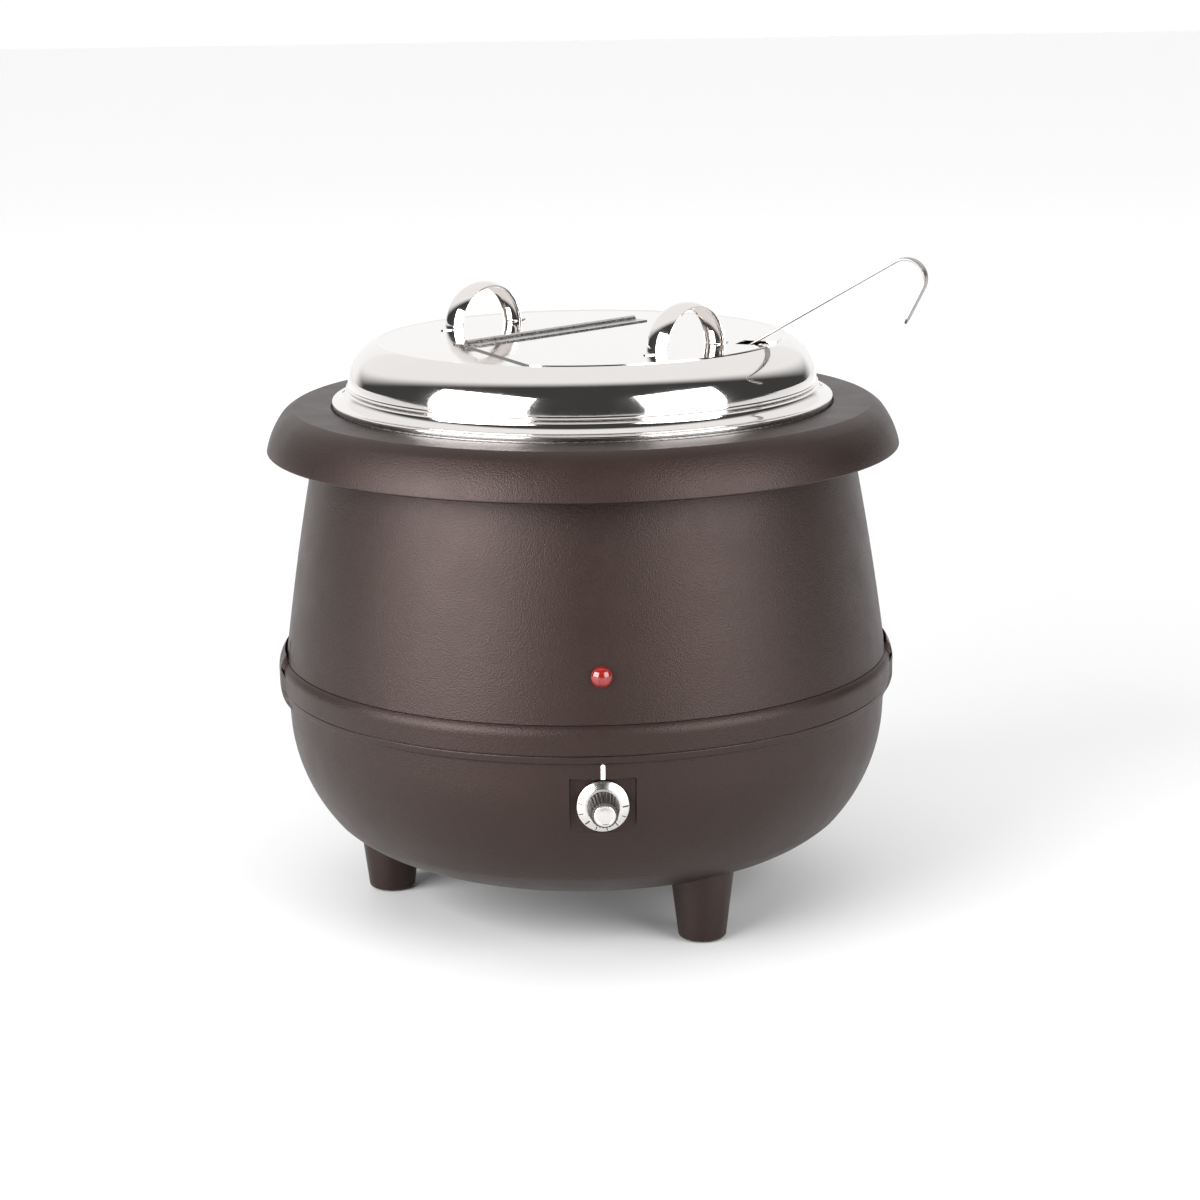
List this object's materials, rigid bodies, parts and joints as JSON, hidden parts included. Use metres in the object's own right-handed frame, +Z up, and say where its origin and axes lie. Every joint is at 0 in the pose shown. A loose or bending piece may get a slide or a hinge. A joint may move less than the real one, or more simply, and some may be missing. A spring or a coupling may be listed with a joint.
{
  "type": "electric soup kettle",
  "caption": "Round electric soup kettle on feet: plastic casing with knob and pilot lamp, lift-out pot, hinged steel lid and ladle.",
  "frame": {"origin": "on the standing plane under the feet, at the kettle's vertical axis", "axes": "+Z up along the kettle's axis, -Y to the front where the control knob is, +X to the right seen from the front"},
  "size_m": [0.4042, 0.4116, 0.4163],
  "materials": {
    "casing_plastic": "fine matt grain",
    "polished_steel": "mirror polished stainless steel",
    "satin_steel": "satin stainless steel",
    "zinc_steel": "bright zinc plated",
    "dial_metal": "turned, satin",
    "knob_plastic": "matt",
    "lamp_red": "clear red, domed",
    "seal_rubber": "matt",
    "spreader_aluminium": "cast",
    "heater_sheath": "dark oxide",
    "copper": "drawn copper",
    "wire_insulation": "brown insulation"
  },
  "bodies": {
    "housing": {"base_bowl": "casing_plastic", "upper_shell": "casing_plastic", "collar_ring": "casing_plastic", "pan_gasket": "seal_rubber", "water_pan": "satin_steel", "lamp_lens": "lamp_red", "lamp_holder": "knob_plastic", "thermostat_body": "knob_plastic", "thermostat_screws": "zinc_steel", "foot_front_right": "casing_plastic", "foot_rear_right": "casing_plastic", "foot_left": "casing_plastic", "foot_pads": "seal_rubber", "foot_screws": "zinc_steel", "tie_rods": "zinc_steel", "shield_spacers": "zinc_steel", "shield_nuts": "zinc_steel", "heat_shield": "zinc_steel", "heat_spreader": "spreader_aluminium", "heating_element": "heater_sheath", "element_clamp": "satin_steel", "clamp_nut": "zinc_steel", "thermal_cutout": "knob_plastic", "capillary_bulb": "copper", "terminal_block": "knob_plastic", "cord_gland": "casing_plastic", "gland_nut": "casing_plastic", "supply_wires": "wire_insulation", "element_wires": "wire_insulation"},
    "pot": {"soup_pot": "polished_steel"},
    "lid": {"lid_dome": "polished_steel", "lid_locating_ring": "satin_steel", "lid_handle_fixed": "polished_steel", "hinge_leaf_fixed": "satin_steel", "hinge_pin": "satin_steel"},
    "flap": {"lid_flap": "polished_steel", "hinge_leaf_flap": "satin_steel", "lid_handle_flap": "polished_steel"},
    "ladle": {"ladle_strap": "satin_steel", "ladle_bowl": "satin_steel", "ladle_rivets": "satin_steel"},
    "knob": {"knob_skirt": "dial_metal", "knob_grip": "knob_plastic", "knob_cap": "dial_metal", "thermostat_spindle": "satin_steel"}
  },
  "joints": [
    {"name": "pot_lift", "type": "slide", "parent": "housing", "child": "pot", "axis": [0, 0, 1], "range_m": [0, 0.18]},
    {"name": "lid_lift", "type": "slide", "parent": "pot", "child": "lid", "axis": [0, 0, 1], "range_m": [0, 0.12]},
    {"name": "flap_hinge", "type": "hinge", "parent": "lid", "child": "flap", "pos_m": [-0.0175, 0.01923, 0.3622], "axis": [-0.7396, -0.673, 0], "range_deg": [0, 110]},
    {"name": "ladle_draw", "type": "slide", "parent": "lid", "child": "ladle", "axis": [0.7836, -0.3604, 0.506], "range_m": [0, 0.05]},
    {"name": "knob_turn", "type": "hinge", "parent": "housing", "child": "knob", "pos_m": [0, -0.19, 0.1103], "axis": [0, -1, 0], "range_deg": [0, 270]}
  ]
}
